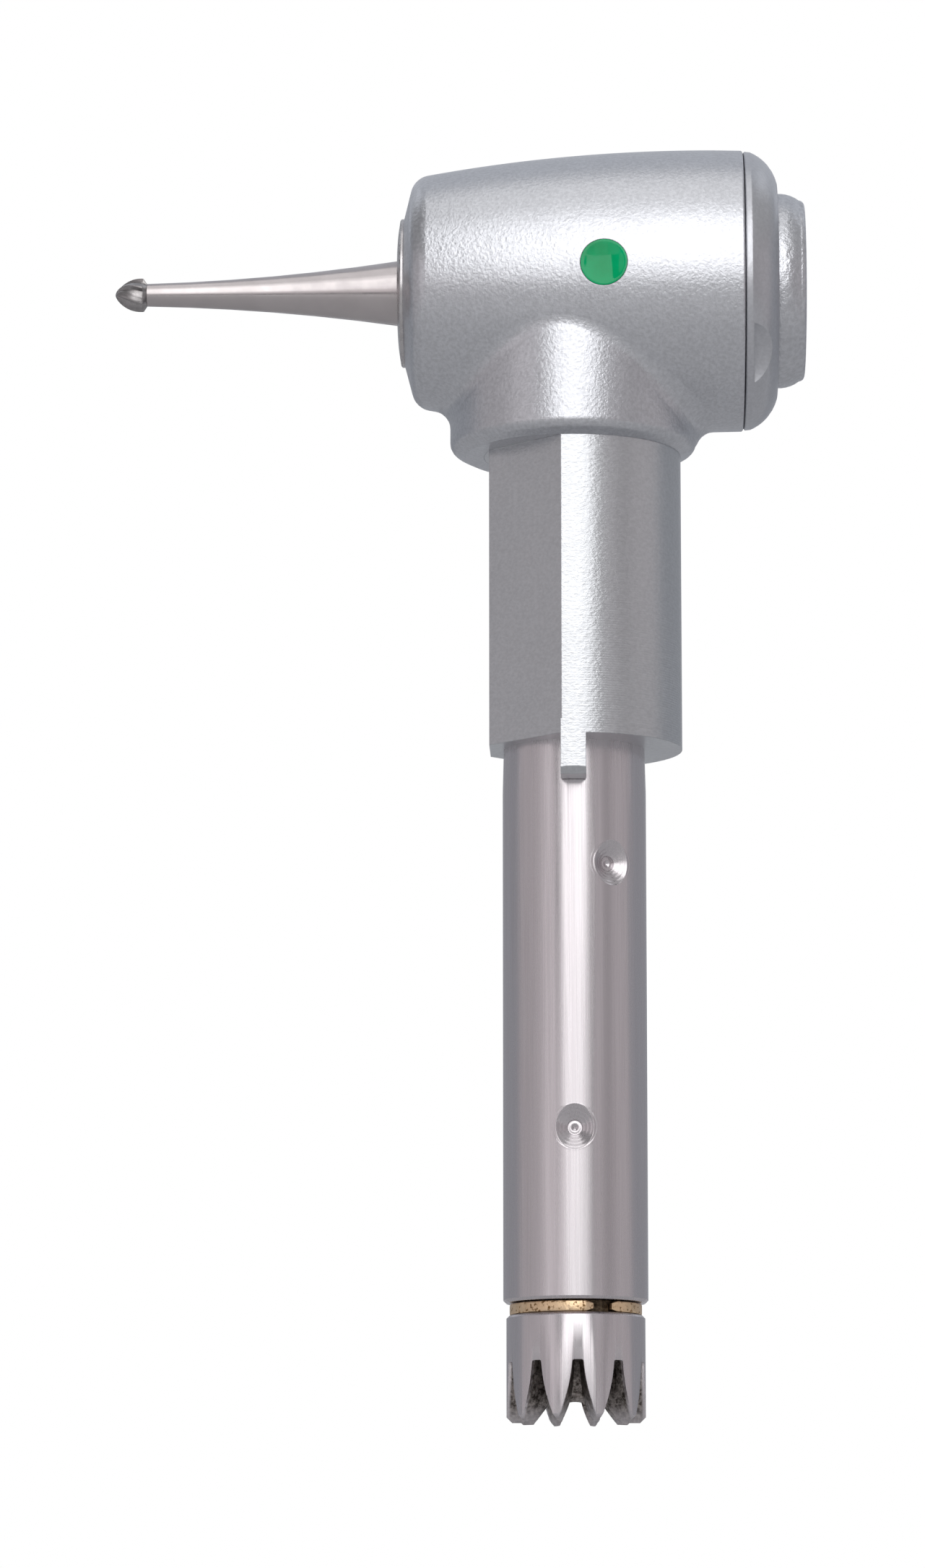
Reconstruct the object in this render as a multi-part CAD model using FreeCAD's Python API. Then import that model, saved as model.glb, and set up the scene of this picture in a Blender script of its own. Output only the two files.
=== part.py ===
"""Contra-angle head cartridge with a bur in its push-button chuck.

The head's barrel lies along X, with the bur pointing to -X and the push button
at +X. Its drive shaft runs down the guide tube along Z. The origin is on the
tube's axis, at the sleeve's lower shoulder, which is where the head seats in a
handpiece. Every size is in millimetres. Each piece is one STEP file in parts/.
"""

import math
import os

import FreeCAD
import Part

Vec = FreeCAD.Vector
X_DIR, Y_DIR, Z_DIR = Vec(1, 0, 0), Vec(0, 1, 0), Vec(0, 0, 1)

# ---- driving dimensions -------------------------------------------------
running_clearance = 0.02      # radial play of parts that turn or slide in each other

# barrel of the head housing, as distances along X from the tube's axis
barrel_front_x = -5.86        # where the domed front face turns into the barrel
barrel_nose_x = -6.06         # front face at the cover ring
barrel_end_x = 6.13           # joint with the end cap
barrel_widest_x = 4.5
barrel_radius = 5.08
barrel_arc_radius = 55.0      # lengthwise bulge of the barrel
barrel_front_radius = 3.45
barrel_front_fillet = 0.75
parting_chamfer = 0.045       # half of the fine groove between housing and cap
parting_gap = 0.03

# neck boss under the barrel
boss_wall = 0.56              # from the sleeve out to the boss's straight wall
boss_blend_radius = 0.8
boss_height = 0.52            # straight wall below the barrel's widest place
boss_foot_height = 0.5        # from the sleeve's upper end to the straight wall
boss_bevel_height = 0.16      # from the sleeve's upper end to the outer bevel
boss_bevel_width = 0.22

# cavity in the barrel
gear_room_clearance = 0.7     # round the spindle gear's pitch circle
gear_room_front_x = 0.2
mid_room_step = 0.3           # wider than the front bearing's seat

# flat-sided locating sleeve
sleeve_wall = 1.31            # outside the guide tube
sleeve_flat_depth = 0.86      # of each of the three flats
sleeve_flat_angles = (135.0, 180.0, 225.0)
sleeve_length = 10.7
sleeve_spigot_wall = 0.69
sleeve_spigot_length = 1.3
key_width = 0.9
key_length = 1.44
key_bevel = 0.25

# guide tube
tube_radius = 2.55
tube_length = 19.7            # below the seat
tube_relief = 0.04            # taper of the tube's wall up to the sleeve
tube_relief_length = 1.6
tube_bore_radius = 2.0
tube_end_chamfer = 0.1
dimple_radius = 0.81
dimple_point_angle = 118.0    # included angle of the drill point
dimple_pit_radius = 0.26
dimple_pit_depth = 0.1
dimples = ((-4.37, 32.0), (-13.72, 0.0))   # height, and angle from the front

# drive shaft line
shaft_radius = 0.8
shaft_body_radius = 1.15      # between the bearings, as their shoulders
shaft_bearing_width = 1.4
shaft_bearing_balls = 7
lower_bearing_gap = 0.3       # retainer's thickness under the lower bearing
pinion_room_clearance = 0.22  # round the pinion's tooth tips
pinion_seat_radius = 0.6
pinion_hub_radius = 1.05

# crown gear at the tube's foot
crown_radius = 2.44
crown_teeth = 10
crown_phase_deg = 2.0
crown_height = 3.74           # from its top to the tooth tips
crown_hollow_depth = 1.3      # from the tooth tips up to the shaft's end
crown_hollow_radius = 1.85    # of the hollow at the tooth tips
crown_core_radius = 1.2
crown_slot_depth = 2.08
crown_slot_half_width = 0.2   # at the top of a slot, on the outer surface
crown_tip_bevel = 0.2
crown_top_chamfer = 0.1
groove_width = 0.44           # gap between the tube and the crown
split_ring_radius = 2.34
split_ring_thickness = 0.27
split_ring_gap_deg = (16.0, 34.0)

# bevel gear pair
pinion_teeth = 10
gear_teeth = 27
gear_outer_radius = 3.6       # pitch radius at the large end
gear_face_width = 1.0
pressure_angle = 20.0
pinion_addendum = 0.25
gear_addendum = 0.14
root_clearance = 0.06
pinion_tooth_thickness = 0.44
gear_tooth_thickness = 0.35
gear_hub_wall = 0.5

# spindle and its bearings
spindle_wall = 0.35
spindle_nose_wall = 0.275     # outside the bur's shank
spindle_shoulder_height = 0.35
spindle_bearing_radius = 3.3
spindle_bearing_width = 1.6
spindle_bearing_balls = 8
front_bearing_x = -4.95       # front face of the front bearing
rear_bearing_x = 3.0          # front face of the rear bearing
preload_washer_thickness = 0.15
race_share = 0.31             # each race's share of a bearing's radial height
ball_share = 0.3              # a ball's radius, as a share of the same height

# collet
collet_wall = 0.425
collet_front_x = -4.4
collet_end_x = 5.6
collet_slot_width = 0.22
collet_slots = 4
collet_slot_front_x = 2.4
finger_relief = 0.12          # room for the fingers to spread in the spindle

# bur
bur_radius = 1.175            # standard 2.35 mm contra-angle shank
bur_end_x = 5.44
bur_length = 22.0
bur_taper_x = -6.3            # where the shank starts to narrow
bur_neck_x = -15.4            # back of the cutting head
bur_neck_radius = 0.41
bur_taper_mid = (-10.6, 0.675)
bur_head_radius = 0.605
bur_blades = 6
bur_flat_depth = 0.575
bur_flat_length = 4.6
bur_groove_radius = 0.8
bur_groove_width = 1.3
bur_groove_from_end = 0.9
drive_key_length = 1.1

# front cover ring
cover_radius = 2.68
cover_face_x = -6.2
cover_dome = 0.1
cover_spigot_wall = 0.75      # outside the spindle's nose

# end cap and push button
cap_face_x = 7.36
cap_bevel_x = 6.4
cap_edge_inset = 0.04         # how far the cap lies inside the barrel at their joint
cap_lip_thickness = 0.46
cap_cavity_clearance = 0.08   # round the button's flange
cap_web_thickness = 0.4
spring_ledge = 0.18           # of the cap's web, inside the button's spring
notch_cutter_radius = 2.13
notch_cutter_offset = 1.5     # of the cutter's centre, outside the barrel's widest radius
notch_floor_x = 6.46
notch_angles = (41.0, 221.0)  # below the horizontal, seen from the button's end
button_radius = 3.5
button_taper = 0.24           # narrowing from the cap's face to the button's own face
button_face_x = 8.385
button_corner_radius = 0.22
button_wall = 0.5
button_flange_width = 0.32
button_flange_thickness = 0.36
button_travel = 0.75
plunger_cone_height = 0.175   # how far the plunger's cone grows outside the bur
spring_wire_radius = 0.13
spring_side_gap = 0.06        # between the spring and the button's wall
spring_turns = 2.75

# colour mark
dot_radius = 0.83
dot_x = 1.14
dot_drop = 0.14               # below the bur's axis
dot_depth = 0.25
dot_proud = 0.03

# ---- derived places -----------------------------------------------------
tube_end_z = -tube_length
tube_neck_radius = tube_radius - tube_relief
sleeve_radius = tube_radius + sleeve_wall
sleeve_flat_distance = sleeve_radius - sleeve_flat_depth
sleeve_spigot_radius = tube_neck_radius + sleeve_spigot_wall
sleeve_top_z = sleeve_length + sleeve_spigot_length
boss_radius = sleeve_radius + boss_wall
boss_bevel_radius = sleeve_radius + boss_wall - boss_bevel_width
boss_foot_z = sleeve_length + boss_foot_height
boss_bevel_z = sleeve_length + boss_bevel_height
bur_axis_z = boss_foot_z + boss_height + barrel_radius
bur_flat_distance = bur_radius - bur_flat_depth
spindle_bore_radius = bur_radius + collet_wall
spindle_nose_radius = bur_radius + spindle_nose_wall
spindle_radius = spindle_bore_radius + spindle_wall
spindle_shoulder_radius = spindle_radius + spindle_shoulder_height
gear_hub_radius = spindle_radius + gear_hub_wall
gear_room_radius = gear_outer_radius + gear_room_clearance
seat_bore_radius = spindle_bearing_radius
mid_room_radius = seat_bore_radius + mid_room_step
cover_spigot_radius = spindle_nose_radius + cover_spigot_wall
front_seat_x = front_bearing_x - preload_washer_thickness
front_bearing_end_x = front_bearing_x + spindle_bearing_width
rear_bearing_end_x = rear_bearing_x + spindle_bearing_width
spindle_end_x = rear_bearing_end_x
cap_web_x = rear_bearing_end_x
cap_cavity_x = cap_web_x + cap_web_thickness
spring_radius = button_radius - button_wall - spring_wire_radius - spring_side_gap
cap_web_bore_radius = spring_radius - spring_wire_radius - spring_ledge
cap_lip_x = cap_face_x - cap_lip_thickness
button_face_radius = button_radius - button_taper
button_flange_radius = button_radius + button_flange_width
cap_cavity_radius = button_flange_radius + cap_cavity_clearance
plunger_radius = bur_radius + plunger_cone_height
notch_cutter_distance = barrel_radius + notch_cutter_offset
crown_top_z = tube_end_z - groove_width
crown_foot_z = crown_top_z - crown_height
crown_core_z = crown_foot_z + crown_hollow_depth
crown_slot_top_z = crown_foot_z + crown_slot_depth
lower_bearing_z = tube_end_z + lower_bearing_gap
upper_bearing_top_z = sleeve_top_z
upper_bearing_z = upper_bearing_top_z - shaft_bearing_width
pinion_cone_angle = math.atan(pinion_teeth / gear_teeth)
pinion_outer_radius = gear_outer_radius * pinion_teeth / gear_teeth
pinion_room_radius = pinion_outer_radius + pinion_addendum + pinion_room_clearance


# ---- shared shape makers ------------------------------------------------
def at_bur_axis(shape):
    """Moves a shape made around the X axis up to the bur's axis."""
    shape.translate(Vec(0, 0, bur_axis_z))
    return shape


def wire_of(steps, place):
    """A closed wire. A step is a point, or (point on the way, end point) for an arc."""
    edges = []
    start = steps[0]
    here = start
    for step in list(steps[1:]) + [start]:
        if isinstance(step[0], tuple):
            way, end = step
            edges.append(Part.Arc(place(here), place(way), place(end)).toShape())
        else:
            end = step
            if (place(here) - place(end)).Length > 1e-7:
                edges.append(Part.LineSegment(place(here), place(end)).toShape())
        here = end
    return Part.Wire(edges)


def turned_about_x(steps):
    """Solid of revolution about the bur's axis from (x, radius) steps."""
    face = Part.Face(wire_of(steps, lambda p: Vec(p[0], 0, p[1])))
    return at_bur_axis(face.revolve(Vec(0, 0, 0), X_DIR, 360))


def turned_about_z(steps):
    """Solid of revolution about the tube's axis from (radius, z) steps."""
    face = Part.Face(wire_of(steps, lambda p: Vec(p[0], 0, p[1])))
    return face.revolve(Vec(0, 0, 0), Z_DIR, 360)


def rod_x(radius, x_start, x_end, hole=0.0):
    """A bar along the bur's axis, with a central hole if one is given."""
    length = x_end - x_start
    rod = Part.makeCylinder(radius, length, Vec(x_start, 0, bur_axis_z), X_DIR)
    if hole:
        rod = rod.cut(Part.makeCylinder(hole, length, Vec(x_start, 0, bur_axis_z), X_DIR))
    return rod


def rod_z(radius, z_start, z_end, hole=0.0):
    """A bar along the tube's axis, with a central hole if one is given."""
    length = z_end - z_start
    rod = Part.makeCylinder(radius, length, Vec(0, 0, z_start), Z_DIR)
    if hole:
        rod = rod.cut(Part.makeCylinder(hole, length, Vec(0, 0, z_start), Z_DIR))
    return rod


def spun(shape, angle, centre, axis):
    """A copy of the shape, turned about an axis through centre."""
    copy = shape.copy()
    copy.rotate(centre, axis, angle)
    return copy


def ring_of(shape, count, centre, axis, first=0.0):
    """Evenly spaced copies of the shape about an axis."""
    step = 360.0 / count
    return [spun(shape, first + step * i, centre, axis) for i in range(count)]


def front_direction(angle_deg):
    """Unit vector square to Z, at an angle from the front (-Y) towards +X."""
    angle = math.radians(angle_deg)
    return Vec(math.sin(angle), -math.cos(angle), 0)


# ---- ball bearings ------------------------------------------------------
def ball_bearing(bore, outside, width, balls):
    """Inner race, outer race, cage and balls of a bearing along X, from x = 0 to width."""
    ball_radius = (outside - bore) * ball_share
    pitch = (bore + outside) / 2
    race_height = (outside - bore) * race_share
    inner_land = bore + race_height
    outer_land = outside - race_height
    middle = Vec(width / 2, 0, 0)
    track = Part.makeTorus(pitch, ball_radius + running_clearance, middle, X_DIR)

    def ring(hole, radius, x_start, x_end):
        tube = Part.makeCylinder(radius, x_end - x_start, Vec(x_start, 0, 0), X_DIR)
        return tube.cut(Part.makeCylinder(hole, x_end - x_start, Vec(x_start, 0, 0), X_DIR))

    inner = ring(bore, inner_land, 0, width).cut(track)
    outer = ring(outer_land, outside, 0, width).cut(track)
    ball = Part.makeSphere(ball_radius, Vec(width / 2, 0, pitch))
    pocket = Part.makeSphere(ball_radius + 1.5 * running_clearance, Vec(width / 2, 0, pitch))
    side = width * 0.12
    cage_play = 2.5 * running_clearance
    cage = ring(inner_land + cage_play, outer_land - cage_play, side, width - side)
    origin = Vec(0, 0, 0)
    cage = cage.cut(ring_of(pocket, balls, origin, X_DIR))
    return {
        "inner_race": inner,
        "outer_race": outer,
        "cage": cage,
        "balls": Part.makeCompound(ring_of(ball, balls, origin, X_DIR)),
    }


def spindle_bearing(x_start):
    """A spindle bearing's pieces, in place."""
    pieces = ball_bearing(
        spindle_radius,
        spindle_bearing_radius,
        spindle_bearing_width,
        spindle_bearing_balls,
    )
    for shape in pieces.values():
        shape.translate(Vec(x_start, 0, bur_axis_z))
    return pieces


def shaft_bearing(z_start):
    """A shaft bearing's pieces, in place."""
    pieces = ball_bearing(
        shaft_radius,
        tube_bore_radius,
        shaft_bearing_width,
        shaft_bearing_balls,
    )
    for shape in pieces.values():
        shape.rotate(Vec(0, 0, 0), Y_DIR, -90)
        shape.translate(Vec(0, 0, z_start))
    return pieces


# ---- bevel gears --------------------------------------------------------
def involute(angle):
    return math.tan(angle) - angle


def bevel_tooth_flank(cone_angle, radius, thickness, addendum, dedendum):
    """(half width, height) points of one flank, root to tip, at the large end.

    The profile is the involute of the back cone's equivalent spur gear.
    """
    equivalent = radius / math.cos(cone_angle)
    pressure = math.radians(pressure_angle)
    base = equivalent * math.cos(pressure)
    points = []
    steps = 5
    for i in range(steps + 1):
        height = -dedendum + (addendum + dedendum) * i / steps
        at = equivalent + height
        turn = involute(math.acos(min(1.0, base / at)))
        half_angle = thickness / (2 * equivalent) + involute(pressure) - turn
        points.append((at * math.sin(half_angle), at * math.cos(half_angle) - equivalent))
    return points


def bevel_gear(teeth, cone_angle, radius, thickness, addendum, dedendum, first_deg):
    """Teeth of a bevel gear, its apex at the origin and its axis along +Z."""
    generator = Vec(math.sin(cone_angle), 0, math.cos(cone_angle))
    outward = Vec(math.cos(cone_angle), 0, -math.sin(cone_angle))
    cone_length = radius / math.sin(cone_angle)
    small_end = 1 - gear_face_width / cone_length
    pitch_point = generator * cone_length
    flank = bevel_tooth_flank(cone_angle, radius, thickness, addendum, dedendum)
    sunk = (flank[0][0], flank[0][1] - root_clearance)
    half = [sunk] + flank
    corners = half + [(-u, v) for u, v in reversed(half)]
    large = [pitch_point + outward * v + Y_DIR * u for u, v in corners]
    small = [p * small_end for p in large]
    wires = [Part.makePolygon(ends + [ends[0]]) for ends in (large, small)]
    tooth = Part.makeLoft(wires, True, True)
    return ring_of(tooth, teeth, Vec(0, 0, 0), Z_DIR, first_deg)


def root_point(cone_angle, radius, dedendum, scale):
    """(radius, axial distance from the apex) of a gear's root cone."""
    along = radius / math.tan(cone_angle)
    return (
        (radius - dedendum * math.cos(cone_angle)) * scale,
        (along + dedendum * math.sin(cone_angle)) * scale,
    )


def small_end_scale(cone_angle, radius):
    return 1 - gear_face_width * math.sin(cone_angle) / radius


# ---- pieces of the housing ----------------------------------------------
def barrel_radius_at(x, grow=0.0):
    """Radius of the barrel's lengthwise bulge."""
    fall = math.sqrt(barrel_arc_radius**2 - (x - barrel_widest_x) ** 2) - barrel_arc_radius
    return barrel_radius + grow + fall


def barrel_outline(grow=0.0):
    """Solid barrel, bigger all round by grow."""
    def on_arc(x):
        return barrel_radius_at(x, grow)

    front = barrel_front_x - grow
    # The corner that the fillet rounds is where the front cone meets the bulge.
    slope = (barrel_nose_x - barrel_front_x) / (cover_radius - barrel_front_radius)
    corner_radius = on_arc(front + 0.3)
    corner_x = front + slope * (corner_radius - barrel_front_radius)
    steps = [
        (barrel_nose_x - grow, 0),
        (barrel_nose_x - grow, cover_radius + grow),
        (corner_x, corner_radius),
        (((corner_x + barrel_end_x) / 2, on_arc((corner_x + barrel_end_x) / 2)),
         (barrel_end_x, on_arc(barrel_end_x))),
        (barrel_end_x, 0),
    ]
    solid = turned_about_x(steps)
    rim = [e for e in solid.Edges if is_circle_at(e, corner_x, corner_radius)]
    return solid.makeFillet(barrel_front_fillet, rim)


def is_circle_at(edge, x, radius):
    """True for a circular edge about the bur's axis at that x and radius."""
    curve = edge.Curve
    return (
        isinstance(curve, Part.Circle)
        and abs(curve.Center.x - x) < 1e-4
        and abs(curve.Radius - radius) < 1e-4
    )


def boss_foot_trim():
    """Ring-shaped cutter that leaves the boss's bevelled foot and the blend above it."""
    reach = 2 * barrel_radius
    below = sleeve_length - 2
    return turned_about_z([
        (sleeve_radius - 1, sleeve_length),
        (sleeve_radius + 0.01, sleeve_length),
        (boss_bevel_radius, boss_bevel_z),
        ((boss_radius - 0.06, boss_foot_z - 0.2), (boss_radius, boss_foot_z)),
        (boss_radius + 0.5, boss_foot_z + 0.2),
        (boss_radius + 2.0, boss_foot_z + 0.3),
        (reach, boss_foot_z + 0.3),
        (reach, below),
        (sleeve_radius - 1, below),
    ])


def head_housing():
    barrel = barrel_outline()
    boss = rod_z(boss_radius, sleeve_length - 2, bur_axis_z)
    body = barrel.fuse(boss).removeSplitter()
    seam = [e for e in body.Edges if is_boss_seam(e)]
    body = body.makeFillet(boss_blend_radius, seam).cut(boss_foot_trim())
    rim = [e for e in body.Edges if isinstance(e.Curve, Part.Circle)
           and abs(e.Curve.Center.x - barrel_end_x) < 1e-4]
    body = body.makeChamfer(parting_chamfer, rim)
    cavity = turned_about_x([
        (barrel_end_x + 1, 0),
        (barrel_end_x + 1, gear_room_radius),
        (gear_room_front_x, gear_room_radius),
        (gear_room_front_x, mid_room_radius),
        (front_bearing_end_x, mid_room_radius),
        (front_bearing_end_x, seat_bore_radius),
        (front_seat_x, seat_bore_radius),
        (front_seat_x, cover_spigot_radius),
        (barrel_nose_x - 1, cover_spigot_radius),
        (barrel_nose_x - 1, 0),
    ])
    body = body.cut(cavity)
    body = body.cut(rod_z(sleeve_spigot_radius, sleeve_length - 3, sleeve_top_z))
    body = body.cut(rod_z(pinion_room_radius, sleeve_length, bur_axis_z))
    return body.cut(dot_pocket(dot_radius + 0.01))


def is_boss_seam(edge):
    """True for the curved edges where the neck boss runs into the barrel."""
    box = edge.BoundBox
    if isinstance(edge.Curve, (Part.Circle, Part.Line)):
        return False
    return box.XMin > -boss_radius - 0.1 and box.ZMax < bur_axis_z - 0.5


def dot_pocket(radius):
    """Round pocket in the barrel's front side for the colour mark."""
    drill = Part.makeCylinder(
        radius, barrel_radius, Vec(dot_x, -barrel_radius - 1, bur_axis_z - dot_drop), Y_DIR
    )
    return drill.cut(barrel_outline(-dot_depth))


def colour_dot():
    return dot_pocket(dot_radius).common(barrel_outline(dot_proud))


def locating_sleeve():
    body = rod_z(sleeve_radius, 0, sleeve_length)
    for angle in sleeve_flat_angles:
        slab = Part.makeBox(4, 4 * sleeve_radius, sleeve_length,
                            Vec(sleeve_flat_distance, -2 * sleeve_radius, 0))
        body = body.cut(spun(slab, angle, Vec(0, 0, 0), Z_DIR))
    body = body.fuse(rod_z(sleeve_spigot_radius, sleeve_length, sleeve_top_z))
    body = body.fuse(sleeve_key())
    return body.cut(rod_z(tube_neck_radius, -1, sleeve_top_z + 1)).removeSplitter()


def sleeve_key():
    """Tongue on the sleeve's front that keeps the head from turning in the handpiece."""
    inner = tube_radius + 3 * running_clearance
    profile = [
        (inner, 0.5),
        (sleeve_radius + 1, 0.5),
        (sleeve_radius + 1, -key_length + key_bevel + 1),
        (sleeve_radius, -key_length + key_bevel),
        (sleeve_radius - key_bevel, -key_length),
        (inner, -key_length),
    ]
    face = Part.Face(wire_of(profile, lambda p: Vec(-key_width / 2, -p[0], p[1])))
    tongue = face.extrude(X_DIR * key_width)
    return tongue.common(rod_z(sleeve_radius, -key_length, 0.5))


def guide_tube():
    body = turned_about_z([
        (tube_bore_radius, tube_end_z),
        (tube_radius - tube_end_chamfer, tube_end_z),
        (tube_radius, tube_end_z + tube_end_chamfer),
        (tube_radius, -tube_relief_length),
        (tube_neck_radius, 0),
        (tube_neck_radius, sleeve_top_z),
        (tube_bore_radius, sleeve_top_z),
    ])
    for height, angle in dimples:
        body = body.cut(dimple(height, angle))
    return body


def dimple(height, angle):
    """Drill point with a small pit at its centre, square to the tube's wall."""
    half = math.radians(dimple_point_angle / 2)
    wide = 1.6 * dimple_radius
    outward = front_direction(angle)
    tip_depth = dimple_radius / math.tan(half)
    tip = outward * (tube_radius - tip_depth) + Vec(0, 0, height)
    cone = Part.makeCone(0, wide, wide / math.tan(half), tip, outward)
    pit_top = dimple_pit_radius / math.tan(half)
    pit = Part.makeCylinder(dimple_pit_radius, dimple_pit_depth, tip + outward * (pit_top - 0.08),
                            outward)
    floor = rod_z(tube_bore_radius + 0.03, height - wide, height + wide)
    return cone.fuse(pit).cut(floor)


def front_cover():
    bore = spindle_nose_radius + 3 * running_clearance
    return turned_about_x([
        (front_seat_x, cover_spigot_radius),
        (barrel_nose_x, cover_spigot_radius),
        (barrel_nose_x, cover_radius),
        (cover_face_x + 0.06, cover_radius),
        ((cover_face_x + 0.015, cover_radius - 0.03), (cover_face_x, cover_radius - 0.09)),
        (((cover_face_x - cover_dome * 0.75), (cover_radius + bore) / 2),
         (cover_face_x - cover_dome, bore + 0.1)),
        (cover_face_x - cover_dome + 0.1, bore),
        (front_seat_x, bore),
    ])


def end_cap():
    start = barrel_end_x + parting_gap
    edge = barrel_radius_at(barrel_end_x) - cap_edge_inset
    rounding_mid = (cap_bevel_x + 0.58 * (cap_face_x - cap_bevel_x), edge - 0.4)
    button_hole = button_radius + 2 * running_clearance
    body = turned_about_x([
        (start, gear_room_radius),
        (start, edge - parting_chamfer),
        (start + parting_chamfer, edge),
        (cap_bevel_x, edge - 0.02),
        (rounding_mid, (cap_face_x, edge - 1.12)),
        (cap_face_x, button_hole + 0.05),
        (cap_face_x - 0.05, button_hole),
        (cap_lip_x, button_hole),
        (cap_lip_x, cap_cavity_radius),
        (cap_cavity_x, cap_cavity_radius),
        (cap_cavity_x, cap_web_bore_radius),
        (cap_web_x, cap_web_bore_radius),
        (cap_web_x, seat_bore_radius),
        (rear_bearing_x, seat_bore_radius),
        (rear_bearing_x, gear_room_radius),
    ])
    for angle in notch_angles:
        cutter = Part.makeCylinder(
            notch_cutter_radius, 4, Vec(notch_floor_x, -notch_cutter_distance, bur_axis_z), X_DIR
        )
        body = body.cut(spun(cutter, angle, Vec(0, 0, bur_axis_z), X_DIR))
    return body


def bearing_retainer():
    """Thin ring that holds the lower bearing's outer race in the tube."""
    return rod_z(tube_bore_radius, tube_end_z, lower_bearing_z, hole=shaft_body_radius + 0.15)


def spacer_sleeve():
    """Sets the distance between the two shaft bearings' outer races."""
    return rod_z(
        tube_bore_radius, lower_bearing_z + shaft_bearing_width, upper_bearing_z,
        hole=tube_bore_radius - 0.4,
    )


def preload_washer():
    """Flat stand-in for the wave washer between the housing's seat and the front bearing."""
    return rod_x(seat_bore_radius, front_seat_x, front_bearing_x, hole=seat_bore_radius - 0.4)


# ---- pieces that turn with the drive shaft ------------------------------
def drive_shaft():
    shoulder = running_clearance / 2
    return turned_about_z([
        (0, crown_core_z),
        (shaft_radius, crown_core_z),
        (shaft_radius, lower_bearing_z + shaft_bearing_width + shoulder),
        (shaft_body_radius, lower_bearing_z + shaft_bearing_width + shoulder),
        (shaft_body_radius, upper_bearing_z - shoulder),
        (shaft_radius, upper_bearing_z - shoulder),
        (shaft_radius, upper_bearing_top_z),
        (pinion_seat_radius, upper_bearing_top_z),
        (pinion_seat_radius, bur_axis_z - 2.9),
        (0, bur_axis_z - 2.9),
    ])


def drive_pinion():
    dedendum = gear_addendum + root_clearance
    large = root_point(pinion_cone_angle, pinion_outer_radius, dedendum, 1)
    scale = small_end_scale(pinion_cone_angle, pinion_outer_radius)
    small = root_point(pinion_cone_angle, pinion_outer_radius, dedendum, scale)
    hub_end = bur_axis_z - upper_bearing_top_z - 0.01
    blank = turned_about_x([
        (small[1], pinion_seat_radius),
        (small[1], small[0]),
        (large[1], large[0]),
        (large[1] + 0.05, pinion_hub_radius),
        (hub_end, pinion_hub_radius),
        (hub_end, pinion_seat_radius),
    ])
    blank.translate(Vec(0, 0, -bur_axis_z))
    blank.rotate(Vec(0, 0, 0), Y_DIR, -90)
    teeth = bevel_gear(
        pinion_teeth, pinion_cone_angle, pinion_outer_radius,
        pinion_tooth_thickness, pinion_addendum, dedendum, 0.0,
    )
    gear = blank.fuse(teeth).removeSplitter()
    gear.rotate(Vec(0, 0, 0), X_DIR, 180)
    gear.translate(Vec(0, 0, bur_axis_z))
    return gear


def crown_gear():
    hub_radius = split_ring_radius - split_ring_thickness
    body = turned_about_z([
        (shaft_radius, crown_core_z),
        (crown_hollow_radius, crown_foot_z),
        (crown_radius - crown_tip_bevel, crown_foot_z),
        (crown_radius, crown_foot_z + crown_tip_bevel),
        (crown_radius, crown_top_z - crown_top_chamfer),
        (crown_radius - crown_top_chamfer, crown_top_z),
        (hub_radius, crown_top_z),
        (hub_radius, tube_end_z - running_clearance),
        (shaft_body_radius, tube_end_z - running_clearance),
        (shaft_body_radius, lower_bearing_z - running_clearance / 2),
        (shaft_radius, lower_bearing_z - running_clearance / 2),
    ])
    slots = ring_of(crown_slot(), crown_teeth, Vec(0, 0, 0), Z_DIR, crown_phase_deg)
    return body.cut(slots).removeSplitter()


def crown_slot():
    """One gap between two pointed teeth, at the front, wider with the radius and downwards."""
    pitch_half = math.pi * crown_radius / crown_teeth
    top = crown_slot_top_z
    shoulder = top - 0.1
    foot = crown_foot_z - 0.05
    narrow = crown_slot_half_width
    bend = (narrow + 0.14, top - 0.95)

    def section(radius):
        k = radius / crown_radius

        def place(p):
            return Vec(p[0] * k, -radius, p[1])

        return wire_of([
            (-narrow + 0.05, top),
            (narrow - 0.05, top),
            (narrow, shoulder),
            (bend, (pitch_half, foot)),
            (-pitch_half, foot),
            ((-bend[0], bend[1]), (-narrow, shoulder)),
        ], place)

    return Part.makeLoft([section(crown_radius + 0.4), section(crown_core_radius)], True, True)


def split_ring():
    """Brass ring round the crown's hub, open over a small angle."""
    foot = crown_top_z
    top = tube_end_z - running_clearance
    ring = rod_z(split_ring_radius, foot, top, hole=split_ring_radius - split_ring_thickness)
    start, end = split_ring_gap_deg
    reach = 2 * split_ring_radius
    corners = [Vec(0, 0, foot - 1)]
    corners += [front_direction(a) * reach + Vec(0, 0, foot - 1) for a in (start, end)]
    wedge = Part.Face(Part.makePolygon(corners + [corners[0]])).extrude(Vec(0, 0, 3))
    return ring.cut(wedge)


# ---- pieces that turn with the spindle ----------------------------------
def spindle():
    relief = spindle_bore_radius + finger_relief
    shoulder = front_bearing_end_x + running_clearance / 2
    nose_end = barrel_nose_x + 0.05
    nose_bore = bur_radius + 2 * running_clearance
    return turned_about_x([
        (nose_end, nose_bore),
        (nose_end, spindle_nose_radius),
        (front_bearing_x, spindle_nose_radius),
        (front_bearing_x, spindle_radius),
        (shoulder, spindle_radius),
        (shoulder, spindle_shoulder_radius),
        (shoulder + 0.45, spindle_shoulder_radius),
        (shoulder + 0.45, spindle_radius),
        (spindle_end_x, spindle_radius),
        (spindle_end_x, relief),
        (collet_slot_front_x - 0.3, relief),
        (collet_slot_front_x - 0.3, spindle_bore_radius),
        (collet_front_x, spindle_bore_radius),
        (collet_front_x, nose_bore),
    ])


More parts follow.
